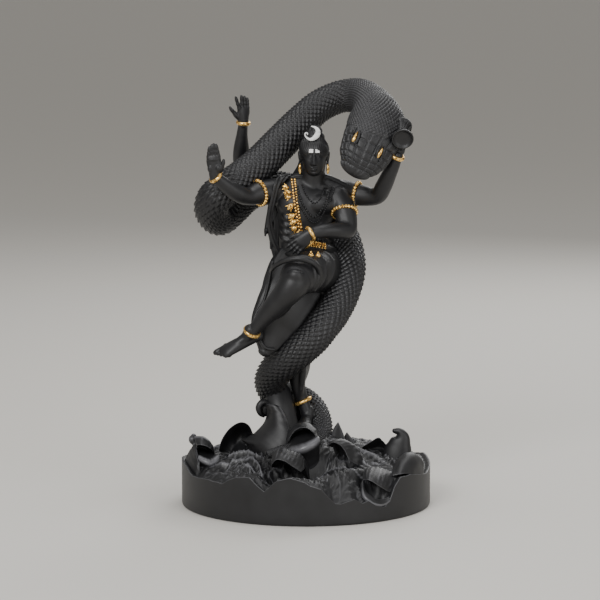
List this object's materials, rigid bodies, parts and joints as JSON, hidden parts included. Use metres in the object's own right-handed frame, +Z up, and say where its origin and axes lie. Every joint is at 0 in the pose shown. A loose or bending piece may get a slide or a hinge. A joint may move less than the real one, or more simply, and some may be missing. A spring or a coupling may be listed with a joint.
{
  "type": "shiva figure",
  "caption": "Cast resin statuette of a dancing many-armed deity with a great snake coiled round the body, on a drum of breaking waves.",
  "frame": {"origin": "centre of the round underside", "axes": "+Z up, the figure facing -Y, its right hand side towards -X"},
  "size_m": [0.174, 0.174, 0.2953],
  "materials": {
    "black_resin": "cold-cast resin under satin black paint",
    "gold_paint": "hand-brushed antique gold paint on the raised jewellery and the snake's eyes",
    "silver_paint": "bright silver-white paint on the crescent and the forehead mark"
  },
  "bodies": {
    "root": {"shiva_statue": "black_resin"}
  },
  "joints": []
}
